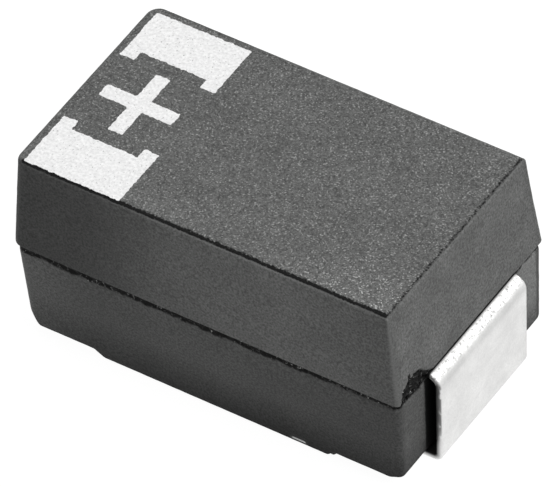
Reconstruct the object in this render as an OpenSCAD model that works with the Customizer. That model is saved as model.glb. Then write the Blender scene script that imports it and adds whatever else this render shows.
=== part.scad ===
// Molded tantalum chip capacitor, with two flat terminals bent under its case.
// The origin is on the board plane, under the middle of the case. +X points to the
// cathode end, the polarity mark is at the -X end, and +Z points up from the board.

/* [Molded case] */
// Length of the case at its parting line
case_l = 7.0; // [6.4:0.1:8]
// Width of the case at its parting line
case_w = 4.05; // [4:0.05:5]
// Height of the upper half, from the parting line to the top face
upper_h = 1.75; // [1.6:0.05:2.2]
// Height of the lower half, from the parting line to the recesses over the feet
lower_h = 1.72; // [1.6:0.02:2.2]
// Draft of the upper half's walls, in degrees
upper_draft = 5; // [2:0.5:7]
// Draft of the lower half's walls, in degrees
lower_draft = 2.5; // [1:0.5:5]
// How far the upper half overhangs the lower half at the parting line
parting_step = 0.03; // [0.01:0.01:0.06]
// Radius along the edges of the top face and of the underside
edge_r = 0.05; // [0.02:0.01:0.1]
// Radius of the upright corners at the anode end
anode_corner_r = 0.2; // [0.1:0.05:0.4]
// Radius of the upright corners at the cathode end
cathode_corner_r = 0.1; // [0.05:0.05:0.3]
// Radius under the ends of the case, where the end walls meet the recesses
heel_r = 0.12; // [0.05:0.01:0.2]
// Depth of the recesses over the feet, from the middle of the underside
recess_h = 0.11; // [0.05:0.01:0.12]
// Clear length between a foot's tip and the step at the end of its recess
recess_gap = 0.15; // [0.1:0.05:0.4]
// Width of the broken gate's scar, beside the cathode terminal
gate_w = 0.75; // [0.4:0.05:0.8]
// Height of that scar, above the parting line
gate_h = 0.27; // [0.1:0.01:0.35]
// Depth of that scar at the parting line
gate_depth = 0.04; // [0.03:0.01:0.1]

/* [Terminals] */
// Thickness of the terminal strip
strip_t = 0.1; // [0.08:0.01:0.15]
// Width of each terminal outside the case
terminal_w = 2.4; // [2:0.1:2.6]
// Straight length of strip between the case and the first bend
lead_stub = 0.01; // [0.01:0.01:0.1]
// Inner radius of the bend at the parting line, and of the bends inside the case
bend_r = 0.12; // [0.06:0.01:0.16]
// Inner radius of the bend into the foot
foot_bend_r = 0.06; // [0.04:0.01:0.12]
// Lean of a terminal's leg towards the case, in degrees
leg_lean = 3; // [0:0.5:4]
// Length of each foot, from the outside of its bend to its tip
foot_l = 1.3; // [0.8:0.1:1.5]
// Gap between a foot and the recess over it
foot_gap = 0.06; // [0.02:0.01:0.1]

/* [Terminals inside the case] */
// Width of the anode terminal's tab, which carries the wire
tab_w = 1.4; // [0.8:0.1:2]
// Gap between the tab's tip and the end of the pellet
tab_gap = 0.6; // [0.4:0.05:0.7]
// Length of the weld between the wire and the tab
weld_l = 0.6; // [0.4:0.05:0.7]
// How far the weld sinks the wire into the tab's surface
weld_sink = 0.02; // [0.01:0.005:0.04]
// Width of the cathode terminal's tray, which carries the pellet
tray_w = 2.0; // [1.2:0.1:2.2]
// Length of the tray under the pellet
tray_l = 3.0; // [1.5:0.1:3.6]

/* [Pellet] */
// Space for the wire and its tab, from the anode end of the case to the pellet
anode_room = 1.8; // [1.6:0.05:2]
// Space for the terminal's step, from the cathode end of the case to the coated pellet
cathode_room = 0.85; // [0.7:0.05:1.1]
// Thickness of the molding beside the coated pellet, at the parting line
side_wall = 0.5; // [0.4:0.05:0.8]
// Thickness of the molding over the coated pellet
top_wall = 0.29; // [0.2:0.01:0.5]
// Thickness of the molding between the tray and the recesses' level
floor_wall = 0.38; // [0.2:0.01:0.5]
// Radius of the pellet's long edges
pellet_r = 0.35; // [0.2:0.05:0.5]
// Diameter of the tantalum wire
wire_d = 0.3; // [0.2:0.01:0.4]
// Tantalum between the wire's buried end and the far end of the pellet
wire_cover = 1.2; // [0.5:0.1:2]
// Diameter of the washer on the wire
washer_d = 1.0; // [0.7:0.05:1.4]
// Thickness of the washer
washer_t = 0.15; // [0.1:0.01:0.25]

/* [Coats] */
// Thickness of the manganese dioxide on the outside of the pellet
mno2_t = 0.05; // [0.03:0.01:0.08]
// Thickness of the graphite coat
graphite_t = 0.03; // [0.02:0.01:0.05]
// Thickness of the silver coat
silver_t = 0.05; // [0.03:0.01:0.08]
// Thickness of the silver adhesive between the silver coat and the terminal
glue_t = 0.05; // [0.04:0.01:0.08]
// Length at the wire's end of the pellet that the graphite leaves bare
graphite_setback = 0.25; // [0.1:0.05:0.5]
// Length that the silver leaves bare beyond the graphite's edge
silver_setback = 0.2; // [0.1:0.05:0.5]

/* [Polarity mark] */
// Length of the mark along the case
mark_l = 1.72; // [1.5:0.02:2.2]
// Gap between the mark and the anode end of the flat top
mark_end_gap = 0.1; // [0.08:0.01:0.3]
// Gap between the mark and the sides of the flat top
mark_side_gap = 0.03; // [0.03:0.01:0.1]
// Width of each bar across the case
bar_w = 0.85; // [0.6:0.01:0.87]
// Width of the hooks at the ends of each bar
hook_w = 0.26; // [0.2:0.01:0.3]
// Length of those hooks
hook_l = 0.19; // [0.1:0.01:0.22]
// Length of the plus sign's arms, tip to tip
plus_l = 1.32; // [1:0.02:1.36]
// Width of the plus sign's arms
plus_w = 0.26; // [0.2:0.01:0.3]
// Thickness of the ink
ink_t = 0.015; // [0.01:0.005:0.03]

/* [Hidden] */
$fn = 48;

// How far a cutting shape runs past what it cuts
past = 1;
// Number of straight steps in each rounded corner and edge of the case, and in each bend
corner_steps = 6;
edge_steps = 3;
bend_steps = 12;

// Heights, all measured from the parting line, which is at parting_z above the board
parting_z = strip_t + foot_gap + lower_h;
underside_z = -(lower_h + recess_h);
wire_z = wire_d/2 - weld_sink;

// Terminals: both are drawn at the +X end, and the anode's is turned round. The leg
// runs from the bend at the shoulder to the bend at the toe, given by their centres.
shoulder = [case_l/2 - parting_step + lead_stub, -strip_t - bend_r];
toe_z = strip_t + foot_bend_r - parting_z;
leg_in = bend_r - foot_bend_r;
leg_l = (shoulder.y - leg_in*sin(leg_lean) - toe_z)/cos(leg_lean);
toe = [shoulder.x + leg_in*cos(leg_lean) - leg_l*sin(leg_lean), toe_z];
foot_x = toe.x + foot_bend_r + strip_t - foot_l;
tab_l = anode_room - tab_gap;

// Bare pellet, then the outside of its coats
coats_t = mno2_t + graphite_t + silver_t;
coated_w = case_w - 2*side_wall;
coated_top = upper_h - top_wall;
coated_bottom = -(lower_h - floor_wall - strip_t - glue_t);
coated_x = case_l/2 - cathode_room;
pellet_x0 = -case_l/2 + anode_room;
pellet_x1 = coated_x - coats_t;

// Cathode terminal inside the case: a riser behind the pellet and a tray under it
riser_x = coated_x + glue_t;
tray_z = coated_bottom - glue_t;
tray_x0 = coated_x - tray_l;
riser_top = [riser_x + strip_t + bend_r, -strip_t - bend_r];
riser_foot = [riser_x - bend_r, tray_z + bend_r];

// Flat part of the top face
top_l = case_l - 2*upper_h*tan(upper_draft) - 2*edge_r;
top_w = case_w - 2*upper_h*tan(upper_draft) - 2*edge_r;
mark_x0 = -top_l/2 + mark_end_gap;
mark_y = top_w/2 - mark_side_gap;

// Points of an arc of radius r about c, from angle a to angle b
function arc(c, r, a, b, steps) = [
    for (i = [0:steps]) let (t = a + (b - a)*i/steps) c + r*[cos(t), sin(t)]
];
function corner(c, r, a) = arc(c, r, a, a + 90, corner_steps);
function reverse(list) = [for (i = [1:len(list)]) list[len(list) - i]];

// The case's outline in plan, set in from the parting line by inset
function outline(inset) =
    let (
        x = case_l/2 - inset,
        y = case_w/2 - inset,
        a = anode_corner_r,
        c = cathode_corner_r
    )
    concat(
        corner([x - c, y - c], c, 0),
        corner([a - x, y - a], a, 90),
        corner([a - x, a - y], a, 180),
        corner([x - c, c - y], c, 270)
    );

// Half of the case as [height, inset] pairs: a drafted wall that ends in a rounded edge
function half_levels(start, h, draft) = concat(
    [[0, start]],
    [
        for (i = [0:edge_steps])
            let (t = 90*i/edge_steps, z = h - edge_r + edge_r*sin(t))
            [z, start + z*tan(draft) + edge_r*(1 - cos(t))]
    ]
);

// A solid that runs through the case's outline at each level, up (side 1) or down (-1)
module drafted_half(levels, side) {
    n = len(outline(0));
    m = len(levels);
    rings = [for (l = levels) for (p = outline(l[1])) [p.x, p.y, side*l[0]]];
    walls = [
        for (k = [0:m - 2]) for (i = [0:n - 1])
            [k*n + i, (k + 1)*n + i, (k + 1)*n + (i + 1) % n, k*n + (i + 1) % n]
    ];
    ends = [[for (i = [0:n - 1]) i], [for (i = [0:n - 1]) m*n - 1 - i]];
    faces = concat(walls, ends);
    polyhedron(rings, side > 0 ? faces : [for (f = faces) reverse(f)]);
}

// A rectangle from corner a to corner b
module rect(a, b) translate(a) square(b - a);

// Turns a drawing of the X-Z plane into a solid of width w, centred on the X-Z plane
module side_view(w) rotate([90, 0, 0]) translate([0, 0, -w/2]) linear_extrude(w) children();

// One side of a bent strip: the arcs of its bends, with the radius in place k of each
function strip_side(bends, k) = [for (b = bends) each arc(b[0], b[k], b[3], b[4], bend_steps)];

// A strip of width w that is bent in the X-Z plane. Each bend is [centre, radius on one
// side, radius on the other, first angle, last angle]; start and end are pairs of corners.
module bent_strip(w, start, bends, end) side_view(w) polygon(concat(
    [start[0]],
    strip_side(bends, 1),
    end,
    reverse(strip_side(bends, 2)),
    [start[1]]
));

// What the terminal at the +X end removes from the underside, down to the board
module foot_recess() {
    wall_z = heel_r - lower_h;
    wall_x = case_l/2 - parting_step + wall_z*tan(lower_draft);
    step_x = foot_x - recess_gap;
    side_view(case_w + past) polygon(concat(
        [[wall_x + past, wall_z]],
        arc([wall_x - heel_r, wall_z], heel_r, 0, -90, corner_steps),
        [[step_x, -lower_h], [step_x - recess_h - past, underside_z - past]],
        [[wall_x + past, underside_z - past]]
    ));
}

// The scar that the broken gate leaves on the upper half, beside the terminal: a low arch
module gate_scar() {
    r = (gate_w*gate_w/4 + gate_h*gate_h)/(2*gate_h);
    translate([case_l/2 - gate_depth, -(terminal_w + gate_w)/2, 0])
    rotate([90, 0, 90])
    linear_extrude(gate_depth + past)
    intersection() {
        translate([0, gate_h - r]) circle(r);
        rect([-gate_w, 0], [gate_w, gate_w]);
    }
}

// Outside of the case, with its parting line at height 0
module case_body() {
    difference() {
        drafted_half(half_levels(0, upper_h, upper_draft), 1);
        gate_scar();
    }
    difference() {
        drafted_half(half_levels(parting_step, lower_h + recess_h, lower_draft), -1);
        foot_recess();
        mirror([1, 0, 0]) foot_recess();
    }
}

// A terminal's visible part, from the case wall round to the tip of its foot
module outer_lead() bent_strip(
    terminal_w,
    [[case_l/2 - parting_step, 0], [case_l/2 - parting_step, -strip_t]],
    [
        [shoulder, bend_r + strip_t, bend_r, 90, -leg_lean],
        [toe, foot_bend_r + strip_t, foot_bend_r, -leg_lean, -90]
    ],
    [[foot_x, -parting_z], [foot_x, strip_t - parting_z]]
);

// The anode terminal's tab, which runs straight in to the wire
module weld_tab() side_view(tab_w) rect([case_l/2 - tab_l, -strip_t], [shoulder.x, 0]);

// The cathode terminal's step down behind the pellet and its tray under the pellet
module pellet_tray() bent_strip(
    tray_w,
    [[shoulder.x, 0], [shoulder.x, -strip_t]],
    [
        [riser_top, bend_r + strip_t, bend_r, 90, 180],
        [riser_foot, bend_r, bend_r + strip_t, 0, -90]
    ],
    [[tray_x0, tray_z], [tray_x0, tray_z - strip_t]]
);

module anode_lead() mirror([1, 0, 0]) {
    outer_lead();
    weld_tab();
}

module cathode_lead() {
    outer_lead();
    pellet_tray();
}

// The pellet's block from x0 to x1, with t of coating all round its sides
module pellet_block(x0, x1, t) {
    bare = coats_t - t;
    w = coated_w - 2*bare;
    h = coated_top - coated_bottom - 2*bare;
    r = pellet_r + t;
    translate([x0, 0, (coated_top + coated_bottom)/2])
    rotate([90, 0, 90])
    linear_extrude(x1 - x0) {
        square([w - 2*r, h], center = true);
        square([w, h - 2*r], center = true);
        for (y = [-1, 1]) for (z = [-1, 1])
            translate([y*(w/2 - r), z*(h/2 - r)]) circle(r);
    }
}

// The pellet with its coats up to each one, as solid blocks
module mno2_block()
    pellet_block(pellet_x0 - mno2_t, pellet_x1 + mno2_t, mno2_t);
module graphite_block()
    pellet_block(pellet_x0 + graphite_setback, pellet_x1 + mno2_t + graphite_t,
        mno2_t + graphite_t);
module silver_block()
    pellet_block(pellet_x0 + graphite_setback + silver_setback, coated_x, coats_t);

// A rod of diameter d along the wire's axis, from x0 to x1
module wire_rod(x0, x1, d)
    translate([x0, 0, wire_z]) rotate([0, 90, 0]) cylinder(d = d, h = x1 - x0);

// The wire, pressed flat where it is welded to the tab
module wire() difference() {
    wire_rod(tab_l - case_l/2 - weld_l, pellet_x1 - wire_cover, wire_d);
    mirror([1, 0, 0]) weld_tab();
}

module washer_disc() wire_rod(pellet_x0 - washer_t, pellet_x0, washer_d);

// The space over the tray and beside the riser, which the pellet and its adhesive share
module tray_space() side_view(tray_w) rect([tray_x0, tray_z], [riser_x, -strip_t - bend_r]);

// One bar of the mark, with a hook at each end that points to the plus sign
module mark_bar() {
    rect([0, mark_y - bar_w], [mark_l, mark_y]);
    for (x = [0, mark_l - hook_w])
        rect([x, mark_y - bar_w - hook_l], [x + hook_w, mark_y - bar_w]);
}

// The pieces, each in its place on the board

module molded_case() color([0.2, 0.2, 0.2]) translate([0, 0, parting_z]) difference() {
    case_body();
    anode_lead();
    cathode_lead();
    wire_rod(tab_l - case_l/2 - weld_l, pellet_x0, wire_d);
    washer_disc();
    mno2_block();
    graphite_block();
    silver_block();
    tray_space();
}

module anode_terminal() color([0.85, 0.84, 0.82]) translate([0, 0, parting_z]) anode_lead();

module cathode_terminal() color([0.85, 0.84, 0.82]) translate([0, 0, parting_z]) cathode_lead();

module tantalum_pellet() color([0.35, 0.35, 0.38]) translate([0, 0, parting_z]) difference() {
    pellet_block(pellet_x0, pellet_x1, 0);
    wire();
}

module riser_wire() color([0.6, 0.61, 0.64]) translate([0, 0, parting_z]) wire();

module wire_washer() color([0.95, 0.95, 0.93]) translate([0, 0, parting_z]) difference() {
    washer_disc();
    wire_rod(pellet_x0 - washer_t, pellet_x0, wire_d);
}

module manganese_dioxide_coat() color([0.12, 0.11, 0.11]) translate([0, 0, parting_z])
difference() {
    mno2_block();
    pellet_block(pellet_x0, pellet_x1, 0);
    washer_disc();
}

module graphite_coat() color([0.2, 0.2, 0.22]) translate([0, 0, parting_z]) difference() {
    graphite_block();
    mno2_block();
}

module silver_coat() color([0.75, 0.75, 0.74]) translate([0, 0, parting_z]) difference() {
    silver_block();
    graphite_block();
}

module silver_adhesive() color([0.66, 0.66, 0.65]) translate([0, 0, parting_z]) difference() {
    tray_space();
    silver_block();
    pellet_tray();
}

module polarity_mark() color([0.95, 0.95, 0.93])
translate([mark_x0, 0, parting_z + upper_h]) linear_extrude(ink_t) {
    mark_bar();
    mirror([0, 1]) mark_bar();
    translate([mark_l/2, 0]) {
        square([plus_l, plus_w], center = true);
        square([plus_w, plus_l], center = true);
    }
}

molded_case();
anode_terminal();
cathode_terminal();
tantalum_pellet();
riser_wire();
wire_washer();
manganese_dioxide_coat();
graphite_coat();
silver_coat();
silver_adhesive();
polarity_mark();
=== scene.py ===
"""Looks of the molded tantalum chip capacitor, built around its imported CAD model.

Lengths are in millimetres here, and a mesh is scaled to metres when it is made. In the
builders, heights are measured from the parting line of the case.
"""

import math

import bpy
import numpy as np
from mathutils import Matrix, Vector, noise

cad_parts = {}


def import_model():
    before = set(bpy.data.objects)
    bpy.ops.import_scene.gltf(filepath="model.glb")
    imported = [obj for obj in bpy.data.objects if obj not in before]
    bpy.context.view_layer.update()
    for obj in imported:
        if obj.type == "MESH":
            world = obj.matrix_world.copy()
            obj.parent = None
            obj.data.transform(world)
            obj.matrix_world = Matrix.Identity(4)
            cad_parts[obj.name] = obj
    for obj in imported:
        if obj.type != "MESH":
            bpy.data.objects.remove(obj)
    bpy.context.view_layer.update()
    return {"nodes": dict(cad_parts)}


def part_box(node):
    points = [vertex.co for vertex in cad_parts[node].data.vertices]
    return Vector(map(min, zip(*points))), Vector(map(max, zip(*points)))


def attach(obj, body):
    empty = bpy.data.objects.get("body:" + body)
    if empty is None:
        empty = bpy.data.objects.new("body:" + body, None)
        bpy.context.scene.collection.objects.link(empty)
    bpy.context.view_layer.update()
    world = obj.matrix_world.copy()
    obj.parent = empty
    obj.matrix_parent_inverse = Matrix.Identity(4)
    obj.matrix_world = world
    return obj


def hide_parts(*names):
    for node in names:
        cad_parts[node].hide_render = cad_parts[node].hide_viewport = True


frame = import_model()

MM = 0.001
CASE_LO, CASE_HI = (np.array(corner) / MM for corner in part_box("molded_case"))
PARTING_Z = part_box("anode_terminal")[1][2] / MM

# Case, as in the CAD source
HALF_L, HALF_W = CASE_HI[0], CASE_HI[1]
TOP = CASE_HI[2] - PARTING_Z
UNDER = CASE_LO[2] - PARTING_Z
RECESS = -1.72
UPPER_DRAFT = math.tan(math.radians(5))
LOWER_DRAFT = math.tan(math.radians(2.5))
STEP = 0.03
EDGE_R = 0.05
HEEL_R = 0.12
ANODE_R = 0.2
CATHODE_R = 0.1

# Case, where it is nearer to the photograph than the CAD source is: lower edge at the anode
# end and along the sides, how much rounder the cathode corners are at the top, how much
# further out the sides are at the top and the bottom, and where the underside's steps are
ANODE_HEEL_R = 0.25
SIDE_HEEL_R = 0.03
TOP_ROUNDING = -0.07
FULLER = 0.05
PAD_X = 2.13
ANODE_PAD_X = 2.07
RECESS_X = 2.24

# Crumbly band under the parting line, painted near black there as the shadow in the groove
# under the overhang, scar of the broken gate (its upper outline on the end face, and its
# lower edge), and nick in the lower edge of the near side
BAND_LOW = -0.18
SCAR_Y = (-1.98, -1.95, -1.92, -1.89, -1.80, -1.67, -1.49, -1.40, -1.28, -1.17, -1.10)
SCAR_Z = (-0.06, 0.0, 0.08, 0.17, 0.23, 0.29, 0.30, 0.26, 0.14, 0.06, 0.0)
SCAR_LOW = -0.10
NICK_X = 1.54
NICK_DEPTH = 0.012

# Terminals, as in the CAD source
STRIP_T = 0.1
LEAD_W = 2.4
TAB_W = 1.4
TRAY_W = 2.0
SHOULDER = np.array([3.48, -0.22])
BEND_R = 0.12
TOE_R = 0.06
LEAN = 3
FOOT_L = 1.3

# Where the tab ends and where a strip gets its full width, just inside the case. Then the
# roll-over of its outer edges and the small chamfer of its inner ones
TAB_END_X = 3.40
WIDEN_X = 3.44
ROLL_R = 0.022
CHAMFER = 0.006

# Ink: a bar with two hooks on each side of a plus sign, and its heights from the top face
BAR_W = 0.835
BAR_GAP = 0.015
HOOK_W = 0.26
HOOK_L = 0.19
PLUS_L = 1.32
PLUS_W = 0.26
INK_LOW = -0.003
INK_HIGH = 0.006


# ---------------------------------------------------------------- meshes

def wave(points, size, seed=0):
    """Smooth noise from -1 to 1 at each point, with bumps about `size` across."""
    shift = Vector((seed * 7.31, seed * 3.17, seed * 5.73))
    return np.array([noise.noise(Vector(p) / size + shift) for p in points])


def smoothstep(low, high, value):
    """0 at low and 1 at high, with a soft start and end. low may be the larger one."""
    t = np.clip((value - low) / (high - low), 0, 1)
    return t * t * (3 - 2 * t)


def make(name, points, faces, replaced, material, attributes=None, sharp=40):
    """A piece from points in mm above the parting line, riding on the body."""
    mesh = bpy.data.meshes.new(name)
    points = (np.asarray(points) + [0, 0, PARTING_Z]) * MM
    mesh.from_pydata(points.tolist(), [], [list(map(int, face)) for face in faces])
    mesh.validate()
    mesh.polygons.foreach_set("use_smooth", [True] * len(mesh.polygons))
    mesh.set_sharp_from_angle(angle=math.radians(sharp))
    for key, values in (attributes or {}).items():
        layer = mesh.attributes.new(key, "FLOAT", "POINT")
        layer.data.foreach_set("value", np.asarray(values, dtype=np.float32))
    piece = bpy.data.objects.new(name, mesh)
    bpy.context.collection.objects.link(piece)
    mesh.materials.append(material)
    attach(piece, "root")
    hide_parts(replaced)
    return piece


# ---------------------------------------------------------------- case

# Steps of the mesh along a side and along an end, each from the middle of one corner to the
# middle of the next, and steps in half a corner
NX = 190
NY = 104
HALF_ARC = 4

# How many rings of the wall belong to the pebbled top, and how dark the painted shade is on
# the first rings, along the top's edge
TOP_RINGS = 5
RIM_DARK = (0.35, 0.5, 0.8, 1.0, 1.0, 0.85, 0.4)


def long_side_fractions():
    """Where the points of a long side lie, from the +X corner to the -X corner.

    The nearest points are moved onto the edges of the steps in the underside.
    """
    count = NX - 2 * HALF_ARC
    fractions = np.linspace(0, 1, count + 1)
    inset = STEP - UNDER * LOWER_DRAFT
    x0 = HALF_L - inset - CATHODE_R
    x1 = -(HALF_L - inset - ANODE_R)
    for x in (RECESS_X, PAD_X, -ANODE_PAD_X, -RECESS_X):
        target = (x - x0) / (x1 - x0)
        fractions[int(round(target * count))] = target
    return fractions


def ring(inset, rounder=0.0):
    """The case's outline in plan, set in from the parting line. It starts in the corner at
    +X +Y and turns left. `rounder` is added to the radius of the corners at +X. Every point
    is a linear function of the inset and of `rounder`."""
    a, b = HALF_L - inset, HALF_W - inset
    long_f = long_side_fractions()
    end_f = np.linspace(0, 1, NY - 2 * HALF_ARC + 1)
    fractions = [long_f, end_f, 1 - long_f[::-1], end_f]
    cathode_r = CATHODE_R + rounder
    corners = [(1, 1, cathode_r), (-1, 1, ANODE_R), (-1, -1, ANODE_R), (1, -1, cathode_r)]
    points = []

    def on_arc(k, degrees):
        sx, sy, r = corners[k % 4]
        t = math.radians(degrees)
        return np.array([sx * (a - r) + r * math.cos(t), sy * (b - r) + r * math.sin(t)])

    for k in range(4):
        end = 90 * (k + 1)
        for i in range(HALF_ARC):
            points.append(on_arc(k, end - 45 + 45 * i / HALF_ARC))
        start, stop = on_arc(k, end), on_arc(k + 1, end)
        points += [start + (stop - start) * f for f in fractions[k]]
        for i in range(1, HALF_ARC):
            points.append(on_arc(k + 1, end + 45 * i / HALF_ARC))
    return np.array(points)


def underside(x):
    """Height of the underside: a pad in the middle and a recess over each foot."""
    pad = np.where(x > 0, PAD_X, ANODE_PAD_X)
    t = np.clip((np.abs(x) - pad) / (RECESS_X - pad), 0, 1)
    return UNDER + (RECESS - UNDER) * t


def cap_numbers():
    """Number of each point of a grid that fills a ring: the ring's points, then the others."""
    number = np.empty((NX + 1, NY + 1), dtype=int)
    others = np.arange((NX - 1) * (NY - 1)).reshape(NX - 1, NY - 1)
    number[1:-1, 1:-1] = 2 * (NX + NY) + others
    number[:, 0] = np.arange(NX + 1)
    number[-1, :] = NX + np.arange(NY + 1)
    number[:, -1] = (NX + NY + np.arange(NX + 1))[::-1]
    number[0, :] = np.r_[2 * NX + NY + np.arange(NY), 0][::-1]
    return number


def cap(loop, height):
    """Points inside a ring, and the faces that fill it. The faces number the ring's points
    first, then the new ones."""
    top = loop[:NX + 1]
    left = loop[NX:NX + NY + 1]
    bottom = loop[NX + NY:2 * NX + NY + 1][::-1]
    right = np.vstack([loop[2 * NX + NY:], loop[:1]])[::-1]
    u = np.linspace(0, 1, NX + 1)[:, None, None]
    v = np.linspace(0, 1, NY + 1)[None, :, None]
    grid = ((1 - v) * top[:, None] + v * bottom[:, None]
            + (1 - u) * right[None] + u * left[None]
            - (1 - u) * (1 - v) * loop[0] - u * (1 - v) * loop[NX]
            - u * v * loop[NX + NY] - (1 - u) * v * loop[2 * NX + NY])
    inside = grid[1:-1, 1:-1].reshape(-1, 2)
    number = cap_numbers()
    faces = np.stack([number[:-1, :-1], number[1:, :-1], number[1:, 1:], number[:-1, 1:]], -1)
    return np.column_stack([inside, height(inside[:, 0])]), faces.reshape(-1, 4)


def upper_levels():
    """The upper half from the rim of its top face down to its overhang, as pairs of height
    and inset."""
    flat = TOP * UPPER_DRAFT + EDGE_R
    pairs = [(TOP, flat + 0.06), (TOP - 0.002, flat + 0.045), (TOP - 0.006, flat + 0.03),
             (TOP - 0.006, flat + 0.014), (TOP - 0.001, flat)]
    for t in np.radians([70, 52, 36, 22, 10, 0]):
        z = TOP - EDGE_R + EDGE_R * math.sin(t)
        pairs.append((z, z * UPPER_DRAFT + EDGE_R * (1 - math.cos(t))))
    heights = np.r_[np.linspace(TOP - EDGE_R, 0.3, 15)[1:], np.linspace(0.3, 0.01, 12)[1:]]
    pairs += [(z, z * UPPER_DRAFT) for z in heights]
    return pairs + [(0.0, 0.003), (-0.005, 0.02), (-0.01, 0.06)]


def band_levels(base):
    """The crumbly band that the lower half starts with."""
    levels = []
    for z in np.linspace(-0.03, BAND_LOW, 10):
        spot = np.column_stack([base, np.full(len(base), z)])
        crumbs = 0.016 * wave(spot, 0.07, 2) + 0.014 * wave(spot, 0.035, 4)
        inset = STEP - z * LOWER_DRAFT + smoothstep(BAND_LOW, -0.08, z) * (0.022 + crumbs)
        levels.append((np.full(len(base), z), inset))
    return levels


def lower_levels(base):
    """The wall below the band, then the rounded edge round the underside."""
    end = smoothstep(HALF_L - 0.25, HALF_L - 0.05, np.abs(base[:, 0]))
    heel = np.where(base[:, 0] > 0, HEEL_R, ANODE_HEEL_R)
    radius = SIDE_HEEL_R + (heel - SIDE_HEEL_R) * end
    foot = underside(base[:, 0]) + radius
    levels = []
    for t in np.r_[0.008, 0.02, 0.04, np.linspace(0.08, 0.96, 17), 0.97, 0.98, 0.99, 1.0]:
        z = BAND_LOW + (foot - BAND_LOW) * t
        levels.append((z, STEP - z * LOWER_DRAFT))
    for t in np.radians([20, 40, 60, 75, 90]):
        z = foot - radius * math.sin(t)
        levels.append((z, STEP - z * LOWER_DRAFT + radius * (1 - math.cos(t))))
    return levels


def case_levels(base):
    """The case from the rim of its top face down to the rim of its underside, as pairs of
    height and inset for every point of the outline."""
    n = len(base)
    upper = [(np.full(n, z), np.full(n, inset)) for z, inset in upper_levels()]
    return upper + band_levels(base) + lower_levels(base)


def scar_share(points):
    """1 inside the scar of the broken gate, on the end face beside the cathode terminal."""
    y, z = points[:, 1], points[:, 2]
    rag = 0.03 * wave(points, 0.09, 11) + 0.02 * wave(points, 0.04, 12)
    over = smoothstep(0.02, -0.01, z + rag - np.interp(y, SCAR_Y, SCAR_Z))
    under = smoothstep(-0.015, 0.01, z + rag - SCAR_LOW)
    beside = (y > SCAR_Y[0]) & (y < SCAR_Y[-1]) & (points[:, 0] > HALF_L - 0.35)
    return over * under * beside


def shaded_band_share(points):
    """1 in the crumbly band under the parting line, which is painted near black as the shadow in
    the groove under the overhang. It thins out towards the cathode end.
    """
    x, z = points[:, 0], points[:, 2]
    rag = 0.03 * wave(points, 0.12, 1) + 0.02 * wave(points, 0.05, 16)
    rag += 0.012 * wave(points, 0.5, 3)
    deep = np.interp(x, (-3.5, 1.2, 2.8, 3.5), (-0.148, -0.148, -0.125, -0.115))
    return smoothstep(-0.012, 0.012, z - deep + rag) * (z < -0.005)


def nick_depth(points):
    """A sliver scraped off the lower edge of the near side, towards the cathode end."""
    x, y, z = points.T
    along = smoothstep(0.16, 0.10, np.abs(x - NICK_X))
    arch = z + 0.4 * (x - NICK_X) ** 2
    across = smoothstep(-1.735, -1.75, arch) * smoothstep(-1.80, -1.785, arch)
    return NICK_DEPTH * along * across * (y < 0)


def fuller(points):
    """The case made wider away from the parting line: its long sides have less draft."""
    share = np.clip(np.abs(points[:, 2]) / TOP, 0, 1)
    wider = points.copy()
    wider[:, 1] *= 1 + FULLER / HALF_W * share
    return wider


def case_wall(base, levels):
    """The case's wall, as one ring of points for each level."""
    slope = ring(1.0) - base
    rounding = ring(0.0, 1.0) - base
    rings = []
    for z, inset in levels:
        rounder = TOP_ROUNDING * np.clip(z / TOP, 0, 1) ** 2
        outline = base + rounder[:, None] * rounding
        flat = np.column_stack([outline + inset[:, None] * slope, z])
        crumbs = 0.04 + 0.035 * wave(flat, 0.06, 13) + 0.025 * wave(flat, 0.03, 14)
        on_wall = inset < 0.06 + z * UPPER_DRAFT
        deeper = np.where(on_wall, scar_share(flat) * crumbs, 0) + nick_depth(flat)
        deeper += 0.0025 * wave(flat, 0.15, 15)
        rings.append(fuller(np.column_stack([outline + (inset + deeper)[:, None] * slope, z])))
    return rings


def wall_faces(n, count):
    """Faces between rings of n points each."""
    step = np.arange(n)
    after = (step + 1) % n
    faces = []
    for k in range(count - 1):
        a, b = k * n, (k + 1) * n
        faces.append(np.column_stack([a + step, b + step, b + after, a + after]))
    return faces


def corner_share(n):
    """1 along the upright corners at the cathode end, where a highlight is painted, for each
    point of the outline.
    """
    place = np.arange(n)
    share = np.zeros(n)
    for corner in (0, 2 * NX + NY):
        away = np.minimum(np.abs(place - corner), n - np.abs(place - corner))
        share = np.maximum(share, np.exp(-(away / 2.5) ** 2))
    return share


def behind_lead(points):
    """Painted shadow on an end wall behind its terminal, and along the slot the terminal leaves
    by: how dark it is.
    """
    x, z = np.abs(points[:, 0]), points[:, 2]
    beside = np.abs(points[:, 1]) - LEAD_W / 2
    below = smoothstep(0.13, 0.05, beside) * (z < -0.02)
    reach = np.where(z < -1.5, HALF_L - 1.2, HALF_L - 0.25)
    slot = smoothstep(0.035, 0.01, z) * (z > -0.03) * smoothstep(0.03, -0.01, beside)
    return np.maximum(below, slot) * (x > reach)


def edge_dark(base, levels):
    """Painted shade on the wall at its upper edge, under its overhang and at its lower edge: how
    dark it is, as one row for each ring."""
    beside = np.full(len(base), 0.25)
    beside[base[:, 0] > HALF_L - 0.05] = 0.6
    beside[base[:, 1] < 0.05 - HALF_W] = 1.0
    heights = np.array([z for z, _ in levels])
    rows = 0.62 * smoothstep(0.055, 0.03, heights - underside(base[:, 0]))
    rows[:len(RIM_DARK)] = np.outer(RIM_DARK, beside)
    lip = int(np.argmax(heights[:, 0] <= 0))
    rows[lip + 1:lip + 3] = 1
    rows[-6:-1] = np.maximum(rows[-6:-1], 0.6)
    return rows


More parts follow.
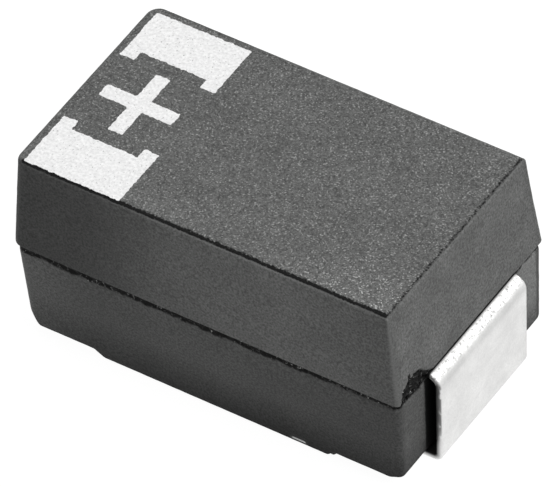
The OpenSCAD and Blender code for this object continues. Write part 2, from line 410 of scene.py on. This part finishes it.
def case_marks(base, levels, points, on_top):
    """How much painted shade darkens each point of the case, how much it belongs to the scar or
    to the painted shadow of the band, how worn or lit by a painted highlight it is, and which
    points are on the pebbled top. `on_top` picks the points inside the top face's rim."""
    n, wall = len(base), len(base) * len(levels)
    z = points[:wall, 2]
    scar = np.maximum(scar_share(points), shaded_band_share(points))
    nick = smoothstep(0.001, 0.006, nick_depth(points)) * (np.abs(points[:, 1]) > HALF_W - 0.17)
    rim_y = TOP * UPPER_DRAFT - HALF_W - FULLER
    dark = behind_lead(points)
    dark[:wall] = np.maximum(dark[:wall], edge_dark(base, levels).ravel())
    # A dark line along the top's near edge, painted shade
    dark[on_top] = 0.5 * smoothstep(0.2, 0.06, points[on_top, 1] - rim_y)
    # Lighter in the nick, and along the upright corners at the cathode end, where a highlight is
    # painted
    wear_and_highlight = 1.8 * nick
    corners = np.tile(corner_share(n), len(levels)) * (z > 0) * (z < TOP - 0.02)
    wear_and_highlight[:wall] = np.maximum(wear_and_highlight[:wall], corners)
    upper = np.zeros(len(points))
    upper[:TOP_RINGS * n] = 1
    upper[on_top] = 1
    return {"dark": dark * (1 - nick) * (1 - scar), "upper": upper, "scar": scar, "wear_and_highlight": wear_and_highlight}


def case_shell():
    """The whole case: wall, top face and underside."""
    base = ring(0.0)
    levels = case_levels(base)
    rings = case_wall(base, levels)
    n, count = len(base), len(rings)
    top_points, top_faces = cap(rings[0][:, :2], lambda x: np.full(len(x), TOP))
    low_points, low_faces = cap(rings[-1][:, :2], underside)
    shift = (count - 1) * n
    top_faces = np.where(top_faces < n, top_faces, top_faces + shift)
    low_faces = low_faces + shift + np.where(low_faces < n, 0, len(top_points))
    points = np.vstack(rings + [top_points, low_points])
    faces = np.vstack(wall_faces(n, count) + [top_faces, low_faces[:, ::-1]])
    on_top = slice(count * n, count * n + len(top_points))
    marks = case_marks(base, levels, points, on_top)
    return make("case_shell", points, faces, "molded_case", epoxy(), marks)


# ---------------------------------------------------------------- terminals

def arc(centre, r, start, stop, steps):
    """Points on an arc in the X-Z plane, from one angle in degrees to another."""
    t = np.radians(np.linspace(start, stop, steps + 1))
    return np.column_stack([centre[0] + r * np.cos(t), centre[1] + r * np.sin(t)])


def line(start, stop, steps):
    """Points on a straight line in the X-Z plane."""
    return np.linspace(start, stop, steps + 1)


def outer_path():
    """Middle line of the strip from the case wall round to the foot's tip, at the +X end."""
    half = STRIP_T / 2
    toe_z = STRIP_T + TOE_R - PARTING_Z
    lean = math.radians(LEAN)
    leg_in = BEND_R - TOE_R
    leg = (SHOULDER[1] - leg_in * math.sin(lean) - toe_z) / math.cos(lean)
    toe = np.array([SHOULDER[0] + leg_in * math.cos(lean) - leg * math.sin(lean), toe_z])
    tip = toe[0] + TOE_R + STRIP_T - FOOT_L
    shoulder = arc(SHOULDER, BEND_R + half, 90, -LEAN, 14)
    bend = arc(toe, TOE_R + half, -LEAN, -90, 10)
    leg_line = line(shoulder[-1], bend[0], 30)[1:-1]
    foot = line(bend[-1], [tip, bend[-1][1]], 26)[1:]
    return np.vstack([shoulder, leg_line, bend, foot])


def cathode_inner():
    """Middle line of the cathode strip inside the case: the tray, then the riser."""
    tray_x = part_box("cathode_terminal")[0][0] / MM
    tray_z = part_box("silver_adhesive")[0][2] / MM - PARTING_Z - STRIP_T / 2
    riser_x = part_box("silver_adhesive")[1][0] / MM
    half = STRIP_T / 2
    top = np.array([riser_x + STRIP_T + BEND_R, -STRIP_T - BEND_R])
    foot = np.array([riser_x - BEND_R, tray_z + half + BEND_R])
    tray = line([tray_x, tray_z], [foot[0], tray_z], 12)[:-1]
    rise = np.vstack([arc(foot, BEND_R + half, -90, 0, 8), arc(top, BEND_R + half, 180, 90, 8)])
    return np.vstack([tray, rise])


def anode_inner():
    """Middle line of the anode strip's tab, turned to the +X end."""
    tab_x = -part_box("anode_terminal")[1][0] / MM
    return line([tab_x, -STRIP_T / 2], [TAB_END_X, -STRIP_T / 2], 10)


def strip_section():
    """Section of the strip as pairs across its width and its thickness, from its outer face
    round. The outer face rolls over at its edges, and the inner face's edges are sharp."""
    half, t = LEAD_W / 2, STRIP_T / 2
    flat = half - ROLL_R
    across = np.linspace(flat, -flat, 45)
    top = [(y, t) for y in across]
    left = [(-flat - ROLL_R * math.sin(a), t - ROLL_R * (1 - math.cos(a)))
            for a in np.radians([30, 60, 90])]
    low_left = [(-half, -t + CHAMFER), (-half + CHAMFER, -t)]
    bottom = [(y, -t) for y in across[::-1]]
    low_right = [(half - CHAMFER, -t), (half, -t + CHAMFER)]
    right = [(-y, h) for y, h in left[::-1]]
    return np.array(top + left + low_left + bottom + low_right + right)


def section_edge(section):
    """1 along the sheared edges of the strip, next to the rolled-over face."""
    beside = smoothstep(LEAD_W / 2 - 0.02, LEAD_W / 2, np.abs(section[:, 0]))
    return beside ** 2 * (section[:, 1] > 0)


def sweep(path, widths, normal, section):
    """Points of the section carried along a path, as wide as given at each point of it."""
    points = []
    for p, width, out in zip(path, widths, normal):
        y = section[:, 0] * width / LEAD_W
        off = section[:, 1]
        points.append(np.column_stack([p[0] + out[0] * off, y, p[1] + out[1] * off]))
    return np.vstack(points)


def sweep_faces(m, count):
    """Faces round rings of m points each, and the two ends."""
    step = np.arange(m)
    after = (step + 1) % m
    faces = []
    for k in range(count - 1):
        a, b = k * m, (k + 1) * m
        faces += np.column_stack([a + step, a + after, b + after, b + step]).tolist()
    first, last = np.arange(m), np.arange(m) + (count - 1) * m
    return faces + [first[::-1].tolist(), last.tolist()]


def strip_marks(place, section):
    """Where a strip is creased by its bend, with a painted highlight there, has painted shade
    below it, a painted shade line at its sheared edge, and painted shade at its root and on
    its inner face. `place` counts the outer path's points up to each ring."""
    s = np.repeat(place, len(section))
    crease_and_highlight = smoothstep(2, 3, s) * smoothstep(9, 7, s)
    below = smoothstep(7, 10, s) * smoothstep(17, 12, s)
    sheared = np.tile(section_edge(section), len(place))
    edge = sheared * smoothstep(8, 14, s) * smoothstep(40, 30, s)
    inside = np.tile(section[:, 1] < 0, len(place)) * smoothstep(10, 13, s)
    root = np.maximum(smoothstep(2.5, 1, s), 0.9 * inside)
    return {"crease_and_highlight": crease_and_highlight, "below": below, "edge": edge, "root": root}


def strip(name, inner, inner_w, side, node):
    """A bent strip: a path in the X-Z plane from inside the case to the foot's tip, with a
    rounded section. side is 1 at the cathode end and -1 at the anode end."""
    outer = outer_path()
    widen = np.array([WIDEN_X, outer[0][1]])
    path = np.vstack([inner, widen, widen + [0.001, 0], outer])
    widths = np.r_[np.full(len(inner) + 1, inner_w), np.full(len(outer) + 1, LEAD_W)]
    tangent = np.gradient(path, axis=0)
    tangent /= np.linalg.norm(tangent, axis=1)[:, None]
    normal = np.column_stack([-tangent[:, 1], tangent[:, 0]])
    section = strip_section()
    m = len(section)
    points = sweep(path, widths, normal, section)
    marks = strip_marks(np.r_[np.zeros(len(inner) + 2), np.arange(len(outer))], section)
    ripple = 0.0015 * wave(points, 0.12, 5) + 0.0012 * wave(points, 0.03, 6)
    facing = np.sign(np.tile(section[:, 1], len(path)))
    lift = ripple * (1 + 2.5 * marks["crease_and_highlight"]) * facing
    points[:, [0, 2]] += np.repeat(normal, m, axis=0) * lift[:, None]
    if side < 0:
        points[:, :2] *= -1
    faces = sweep_faces(m, len(path))
    return make(name, points, faces, node, tin(), marks, sharp=50)


# ---------------------------------------------------------------- polarity mark

def bar(x0, x1, outer_y, inner_y):
    """Corners of a bar across the end of the top. Its two hooks point to the plus sign."""
    tip = inner_y - math.copysign(HOOK_L, inner_y)
    return [(x0, outer_y), (x0, tip), (x0 + HOOK_W, tip), (x0 + HOOK_W, inner_y),
            (x1 - HOOK_W, inner_y), (x1 - HOOK_W, tip), (x1, tip), (x1, outer_y)]


def mark_outlines():
    """The far bar, the near bar and the plus sign, each turning left. The near bar reaches
    further out, as in the photograph."""
    lo, hi = (np.array(c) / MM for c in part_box("polarity_mark"))
    x0, x1 = lo[0], hi[0]
    cx = (x0 + x1) / 2
    far_y = hi[1] - BAR_GAP
    inner_y = far_y - BAR_W
    near_y = -hi[1] - FULLER
    far = bar(x0, x1, far_y, inner_y)
    near = bar(x0, x1, near_y, -inner_y)[::-1]
    arm_l, arm = PLUS_L / 2, PLUS_W / 2
    plus = [(arm_l, arm), (arm, arm), (arm, arm_l), (-arm, arm_l), (-arm, arm), (-arm_l, arm),
            (-arm_l, -arm), (-arm, -arm), (-arm, -arm_l), (arm, -arm_l), (arm, -arm), (arm_l, -arm)]
    return far, near, [(cx + x, y) for x, y in plus]


def ragged(corners):
    """The outline through the corners in steps of about 0.02 mm, softened and made uneven."""
    loop = []
    for p, q in zip(corners, corners[1:] + corners[:1]):
        p, q = np.array(p), np.array(q)
        steps = max(2, int(np.linalg.norm(q - p) / 0.02))
        loop += [p + (q - p) * i / steps for i in range(steps)]
    loop = np.array(loop)
    at = np.column_stack([loop, np.zeros(len(loop))])
    loop = 0.5 * loop + 0.25 * (np.roll(loop, 1, axis=0) + np.roll(loop, -1, axis=0))
    loop[:, 0] += 0.016 * wave(at, 0.07, 7) + 0.012 * wave(at, 0.03, 8)
    loop[:, 1] += 0.016 * wave(at, 0.07, 9) + 0.012 * wave(at, 0.03, 10)
    return loop


def mark():
    """The printed mark, as three thin slabs."""
    points, faces = [], []
    for corners in mark_outlines():
        loop = ragged(corners)
        n, first = len(loop), len(points)
        points += [(x, y, TOP + INK_LOW) for x, y in loop]
        points += [(x, y, TOP + INK_HIGH) for x, y in loop]
        low = list(range(first, first + n))
        faces.append([n + i for i in low])
        faces.append(low[::-1])
        faces += [[i, j, n + j, n + i] for i, j in zip(low, low[1:] + low[:1])]
    return make("polarity_ink", points, faces, "polarity_mark", ink())


# ---------------------------------------------------------------- materials

class Nodes:
    """A node tree whose nodes are made by short calls."""

    def __init__(self, tree):
        self.tree = tree

    def add(self, kind, inputs=None, **settings):
        """A node with its inputs linked or set, by name or by number."""
        new = self.tree.nodes.new(kind)
        for key, value in settings.items():
            setattr(new, key, value)
        for key, value in (inputs or {}).items():
            self.give(new.inputs[key], value)
        return new

    def give(self, socket, value):
        """Link the socket to an output, or set it to a value."""
        if isinstance(value, bpy.types.NodeSocket):
            self.tree.links.new(value, socket)
        else:
            socket.default_value = value

    def math(self, operation, a, b=0.0):
        return self.add("ShaderNodeMath", {0: a, 1: b}, operation=operation).outputs[0]


class Shader(Nodes):
    """A Principled material. Its `at` is the place in mm."""

    def __init__(self, name):
        self.material = bpy.data.materials.new(name)
        self.material.use_nodes = True
        super().__init__(self.material.node_tree)
        self.surface = self.tree.nodes["Principled BSDF"]
        place = self.add("ShaderNodeTexCoord").outputs["Object"]
        scaled = self.add("ShaderNodeVectorMath", {0: place, "Scale": 1 / MM}, operation="SCALE")
        self.at = scaled.outputs[0]

    def spread(self, value, low, high, out_low=0.0, out_high=1.0):
        """value moved from low..high to out_low..out_high, and kept inside that."""
        new = self.add("ShaderNodeMapRange", {"Value": value, "From Min": low, "From Max": high,
                                              "To Min": out_low, "To Max": out_high})
        return new.outputs[0]

    def noise(self, size, detail=2.0, roughness=0.5):
        """Noise around 0.5, with bumps about `size` mm across."""
        new = self.add("ShaderNodeTexNoise", {"Vector": self.at, "Scale": 1 / size,
                                              "Detail": detail, "Roughness": roughness})
        return new.outputs["Fac"]

    def grain(self, noise, low, high):
        """A factor from low to high that follows the noise."""
        return self.spread(noise, 0.3, 0.7, low, high)

    def ramp(self, value, *stops):
        """A number that runs through the stops, which are pairs of place and number."""
        new = self.add("ShaderNodeValToRGB", {"Fac": value})
        while len(new.color_ramp.elements) < len(stops):
            new.color_ramp.elements.new(0.5)
        for element, (place, number) in zip(new.color_ramp.elements, stops):
            element.position = place
            element.color = (number, number, number, 1)
        return new.outputs["Color"]

    def sum(self, a, b):
        return self.math("ADD", a, b)

    def product(self, first, *others):
        for other in others:
            first = self.math("MULTIPLY", first, other)
        return first

    def blend(self, factor, a, b):
        """The number a where the factor is 0, and b where it is 1."""
        return self.add("ShaderNodeMix", {0: factor, 2: a, 3: b}, data_type="FLOAT").outputs[0]

    def mix(self, factor, a, b):
        """The colour a where the factor is 0, and b where it is 1."""
        return self.add("ShaderNodeMix", {0: factor, 6: a, 7: b}, data_type="RGBA").outputs[2]

    def attribute(self, name):
        return self.add("ShaderNodeAttribute", attribute_name=name).outputs["Fac"]

    def grey(self, value, tint=(1.0, 1.0, 1.0)):
        """A colour from one number."""
        new = self.add("ShaderNodeCombineColor")
        for key, share in zip(("Red", "Green", "Blue"), tint):
            self.give(new.inputs[key], self.math("MULTIPLY", value, share))
        return new.outputs[0]

    def bump(self, height, distance):
        """A normal from a height that is `distance` mm at 1."""
        return self.add("ShaderNodeBump", {"Height": height, "Distance": distance * MM}).outputs[0]

    def set(self, **values):
        """Link or set the surface's own sockets, and give the material."""
        for key, value in values.items():
            self.give(self.surface.inputs[key.replace("_", " ")], value)
        return self.material


EPOXY = 0.105
# Near black of the painted shade in the parting line, along the edges and behind the terminals
SHADE_BLACK = 0.003


def wall_shade(s, place, scuff):
    """Light and dark on the walls as in the photograph: along the sides above and below the
    parting line, on the ends, and towards the lower edge."""
    along = s.spread(place["X"], -HALF_L, HALF_L)
    above = s.ramp(along, (0.0, 0.53), (0.22, 0.62), (0.42, 1.18), (0.7, 1.34), (1.0, 1.0))
    beneath = s.ramp(along, (0.0, 1.20), (0.2, 0.84), (0.45, 0.96), (0.7, 0.84), (1.0, 0.62))
    rise = s.spread(place["Z"], PARTING_Z - 0.06, PARTING_Z)
    side = s.spread(s.math("ABSOLUTE", place["Y"]), 1.80, 1.86)
    end_low = s.spread(place["Y"], 0.9, 1.4, 0.84, 1.65)
    end = s.product(s.blend(rise, end_low, 1.12), s.grain(scuff, 0.91, 1.1))
    shade = s.blend(side, end, s.blend(rise, beneath, above))

    # Painted shade towards the lower edge, darkest on the underside
    normal = s.add("ShaderNodeNewGeometry").outputs["Normal"]
    down = s.spread(s.add("ShaderNodeSeparateXYZ", {0: normal}).outputs["Z"], -0.6, -0.9)
    lowest = s.ramp(along, (0.0, 0.7), (0.35, 0.3), (0.7, 0.12), (1.0, 0.35))
    low = s.spread(place["Z"], 0.05, 0.9, s.blend(down, lowest, 0.8), 1.0)
    return shade, low


def top_tone(s, place, scuff, pebble):
    """The pebbled top: (how light it is, how much it sparkles with painted glints), both more in
    a patch near the cathode corner of the near side."""
    bright_patch = s.product(s.spread(place["X"], 1.2, 3.1), s.spread(place["Y"], -0.8, -1.8))
    tone = s.sum(s.spread(place["Y"], -1.2, -1.8, 1.0, 1.1), s.product(bright_patch, 0.12))
    light = s.product(s.grain(pebble, 0.46, 1.46), tone, s.grain(scuff, 0.9, 1.06))
    return light, s.sum(s.product(bright_patch, 0.5), 0.34)


def epoxy():
    """Molded epoxy: pebbled top, finer walls with painted light and shade, painted shade in the
    parting line and along the edges, crumbly scar.
    """
    s = Shader("molded_epoxy")
    upper, dark = s.attribute("upper"), s.attribute("dark")
    scar, wear_and_highlight = s.attribute("scar"), s.attribute("wear_and_highlight")
    place = s.add("ShaderNodeSeparateXYZ", {0: s.at}).outputs
    pebble = s.noise(0.032, 2.0, 0.6)
    fine = s.noise(0.036, 2.0, 0.6)
    scuff = s.noise(0.7, 3.0, 0.6)
    spark = s.spread(s.noise(0.028, 0.0), 0.62, 0.82)

    shade, low = wall_shade(s, place, scuff)
    wall = s.product(s.grain(fine, 0.6, 1.4), shade, low, s.grain(scuff, 0.93, 1.06))
    top, sparkle = top_tone(s, place, scuff, pebble)
    value = s.product(s.blend(upper, wall, top), EPOXY)
    # Lighter specks on the top: filler grains, and painted glints
    value = s.sum(value, s.product(spark, upper, sparkle, 0.5))
    # Lighter in the nick and along the upright corners at the cathode end, a painted highlight
    # there
    value = s.blend(s.product(wear_and_highlight, 0.55), value, s.spread(wear_and_highlight, 1.0, 1.8, 0.17, 0.8))
    # Painted shade, near black, with a ragged edge
    ragged_shade = s.sum(dark, s.grain(fine, -0.3, 0.3))
    value = s.blend(s.spread(ragged_shade, 0.35, 0.75), value, SHADE_BLACK)
    # Crumbly colour of the gate's scar, and of the band under the parting line, painted shadow
    # there
    crumb_and_shade = s.ramp(s.noise(0.05, 3.0, 0.7), (0.53, 0.002), (0.61, 0.025), (0.67, 0.14),
                   (0.71, 0.65))
    value = s.blend(scar, value, crumb_and_shade)
    height = s.blend(upper, s.product(fine, 0.5), pebble)
    return s.set(Base_Color=s.grey(value, (0.99, 1.0, 0.985)), Roughness=0.6,
                 Specular_IOR_Level=0.08, Normal=s.bump(height, 0.008))


def tin():
    """Matt tin plate, crazed where it was bent, with a painted highlight on the bend and painted
    shade below it, along its sheared edges, at its root and on its inner face.
    """
    s = Shader("tin_plate")
    crease_and_highlight, below = s.attribute("crease_and_highlight"), s.attribute("below")
    edge, root = s.attribute("edge"), s.attribute("root")
    cloud = s.noise(0.45, 3.0)
    fine = s.noise(0.03)
    plate = s.product(s.grain(cloud, 0.93, 1.05), s.grain(fine, 0.96, 1.04), 0.74,
                      s.grain(s.noise(0.12, 3.0, 0.7), 0.96, 1.04))
    crack = s.spread(s.noise(0.045, 3.0, 0.7), 0.38, 0.60)
    # Painted shade just below the bend
    value = s.blend(below, plate, s.product(plate, 0.84))
    # Painted highlight on the bend, with the crazing's dark cracks
    value = s.blend(crease_and_highlight, value, s.sum(s.product(crack, 0.65), 0.3))
    # A painted shade line along the sheared edges
    value = s.blend(s.product(edge, s.spread(s.noise(0.15, 1.0), 0.35, 0.45)), value, 0.2)
    # Painted shade at the root and on the inner face
    value = s.blend(root, value, 0.02)
    return s.set(Base_Color=s.grey(value, (1.0, 0.998, 0.99)), Metallic=0.9,
                 Roughness=s.grain(cloud, 0.42, 0.55), Normal=s.bump(fine, 0.002))


def ink():
    """White printing ink on the pebbled top, with small pits."""
    s = Shader("white_ink")
    pebble = s.noise(0.045, 2.0, 0.6)
    pit = s.spread(s.noise(0.035, 1.0), 0.27, 0.33)
    value = s.product(s.grain(pebble, 0.84, 1.1), 0.75, s.sum(s.product(pit, 0.5), 0.5))
    return s.set(Base_Color=s.grey(value), Roughness=0.6, Specular_IOR_Level=0.3,
                 Normal=s.bump(pebble, 0.004))


# Pieces inside the case: material, colour, size of its grain, roughness and metallic share
INSIDE = {
    "tantalum_pellet": ("sintered_tantalum", (0.13, 0.13, 0.14), 0.03, 0.8, 0.3),
    "riser_wire": ("tantalum_wire", (0.42, 0.43, 0.46), 0.05, 0.35, 1.0),
    "wire_washer": ("washer_ptfe", (0.85, 0.85, 0.82), 0.08, 0.45, 0.0),
    "manganese_dioxide_coat": ("manganese_dioxide", (0.02, 0.018, 0.017), 0.03, 0.85, 0.0),
    "graphite_coat": ("graphite", (0.05, 0.05, 0.055), 0.05, 0.5, 0.2),
    "silver_coat": ("silver_paint", (0.6, 0.6, 0.59), 0.03, 0.45, 0.8),
    "silver_adhesive": ("silver_paste", (0.5, 0.5, 0.49), 0.05, 0.55, 0.7),
}
INSIDE_SPREAD = 0.12


def inside_finish(name, colour, size, roughness, metallic):
    """One colour with a grain that also roughens it."""
    s = Shader(name)
    grain = s.noise(size, 3.0)
    dim = [c * (1 - INSIDE_SPREAD) for c in colour] + [1.0]
    lit = [min(1.0, c * (1 + INSIDE_SPREAD)) for c in colour] + [1.0]
    return s.set(Base_Color=s.mix(s.grain(grain, 0.0, 1.0), dim, lit), Metallic=metallic,
                 Roughness=s.grain(grain, roughness - 0.08, roughness + 0.08),
                 Normal=s.bump(grain, size * 0.15))


def finish_inside_nodes():
    """Give the CAD nodes inside the case their materials."""
    for node, finish in INSIDE.items():
        mesh = frame["nodes"][node].data
        mesh.materials.clear()
        mesh.materials.append(inside_finish(*finish))


# ---------------------------------------------------------------- studio

WHITE = (1, 1, 1, 1)
WORLD_LIGHT = 0.35
FLOOR_HALF = 3.0
FLOOR_Z = -0.002 * MM
FLOOR_BOUNCE = 0.45
FLOOR_SHADOW = 0.09
FLOOR_GLOW = 0.96

# Azimuth and elevation in degrees, then distance and size in metres, and power in watts
LAMPS = {
    "key": (14, 47, 0.25, 0.16, 0.47),
    "overhead": (100, 75, 0.25, 0.2, 0.2),
    "side": (-100, 25, 0.3, 0.2, 0.12),
}

# The photograph's view, fitted to the case's edges: angles in degrees, the distance, how far
# the middle of the picture is from the middle of the case, and the lens on a 36 mm sensor
AZIMUTH = 37.08
ELEVATION = 45.75
ROLL = -5.44
DISTANCE = 153.0
RIGHT_BY = 0.0136
UP_BY = -0.0468
LENS = 657.6


def seen_rays(nodes):
    """1 where the ray sees the background itself: directly, in a reflection or through glass."""
    rays = nodes.add("ShaderNodeLightPath").outputs
    seen = nodes.math("MAXIMUM", rays["Is Camera Ray"], rays["Is Glossy Ray"])
    return nodes.math("MAXIMUM", seen, rays["Is Transmission Ray"])


def world():
    """White where it is seen directly or in a reflection, and dimmer as light."""
    new = bpy.data.worlds.new("studio")
    bpy.context.scene.world = new
    new.use_nodes = True
    nodes = Nodes(new.node_tree)
    light = nodes.tree.nodes["Background"]
    light.inputs["Color"].default_value = WHITE
    light.inputs["Strength"].default_value = WORLD_LIGHT
    seen = nodes.add("ShaderNodeBackground", {"Color": WHITE})
    mix = nodes.add("ShaderNodeMixShader", {0: seen_rays(nodes), 1: light.outputs[0],
                                            2: seen.outputs[0]})
    nodes.give(nodes.tree.nodes["World Output"].inputs["Surface"], mix.outputs[0])


def floor_material():
    """Near white where it is seen, with a faint shadow, and darker as a light source. Clear
    from below."""
    material = bpy.data.materials.new("studio_floor")
    material.use_nodes = True
    nodes = Nodes(material.node_tree)
    nodes.tree.nodes.remove(nodes.tree.nodes["Principled BSDF"])
    bounce = nodes.add("ShaderNodeBsdfDiffuse", {"Color": (FLOOR_BOUNCE,) * 3 + (1,)})
    shadow = nodes.add("ShaderNodeBsdfDiffuse", {"Color": (FLOOR_SHADOW,) * 3 + (1,)})
    glow = nodes.add("ShaderNodeEmission", {"Strength": FLOOR_GLOW})
    seen = nodes.add("ShaderNodeAddShader", {0: shadow.outputs[0], 1: glow.outputs[0]})
    mix = nodes.add("ShaderNodeMixShader", {0: seen_rays(nodes), 1: bounce.outputs[0],
                                            2: seen.outputs[0]})
    clear = nodes.add("ShaderNodeBsdfTransparent")
    below = nodes.add("ShaderNodeNewGeometry").outputs["Backfacing"]
    both = nodes.add("ShaderNodeMixShader", {0: below, 1: mix.outputs[0], 2: clear.outputs[0]})
    nodes.give(nodes.tree.nodes["Material Output"].inputs["Surface"], both.outputs[0])
    return material


def floor():
    """A pale floor just under the feet, so that it doesn't lie in their faces."""
    mesh = bpy.data.meshes.new("floor")
    corners = [(-1, -1), (1, -1), (1, 1), (-1, 1)]
    points = [(x * FLOOR_HALF, y * FLOOR_HALF, FLOOR_Z) for x, y in corners]
    mesh.from_pydata(points, [], [(0, 1, 2, 3)])
    mesh.materials.append(floor_material())
    piece = bpy.data.objects.new("floor", mesh)
    bpy.context.collection.objects.link(piece)


def lamp(name, azimuth, elevation, distance, size, power):
    """A soft lamp in the direction given, from the +X axis towards +Y and up."""
    a, e = math.radians(azimuth), math.radians(elevation)
    away = Vector((math.cos(a) * math.cos(e), math.sin(a) * math.cos(e), math.sin(e)))
    light = bpy.data.lights.new(name, "AREA")
    light.shape = "DISK"
    light.size = size
    light.energy = power
    new = bpy.data.objects.new(name, light)
    bpy.context.collection.objects.link(new)
    new.location = Vector((0, 0, PARTING_Z * MM)) + away * distance
    new.rotation_euler = away.to_track_quat("Z", "Y").to_euler()


def camera():
    """The photograph's view. It looks at the middle of the case, at its parting line."""
    azimuth, elevation, roll = (math.radians(v) for v in (AZIMUTH, ELEVATION, ROLL))
    flat = math.cos(elevation)
    back = Vector((math.sin(azimuth) * flat, -math.cos(azimuth) * flat, math.sin(elevation)))
    level = Vector((math.cos(azimuth), math.sin(azimuth), 0))
    upright = back.cross(level)
    right = math.cos(roll) * level + math.sin(roll) * upright
    up = math.cos(roll) * upright - math.sin(roll) * level
    eye = Vector((0, 0, PARTING_Z)) + back * DISTANCE + right * RIGHT_BY + up * UP_BY
    data = bpy.data.cameras.new("camera")
    data.lens = LENS
    data.sensor_width = 36.0
    data.clip_start = 0.01
    data.clip_end = 20.0
    new = bpy.data.objects.new("camera", data)
    bpy.context.collection.objects.link(new)
    turn = Matrix((right, up, back)).transposed().to_4x4()
    new.matrix_world = Matrix.Translation(eye * MM) @ turn
    bpy.context.scene.camera = new


camera()
case_shell()
strip("anode_strip", anode_inner(), TAB_W, -1, "anode_terminal")
strip("cathode_strip", cathode_inner(), TRAY_W, 1, "cathode_terminal")
mark()
finish_inside_nodes()
floor()
world()
for lamp_name, settings in LAMPS.items():
    lamp(lamp_name, *settings)

bpy.context.scene.view_settings.view_transform = "Standard"
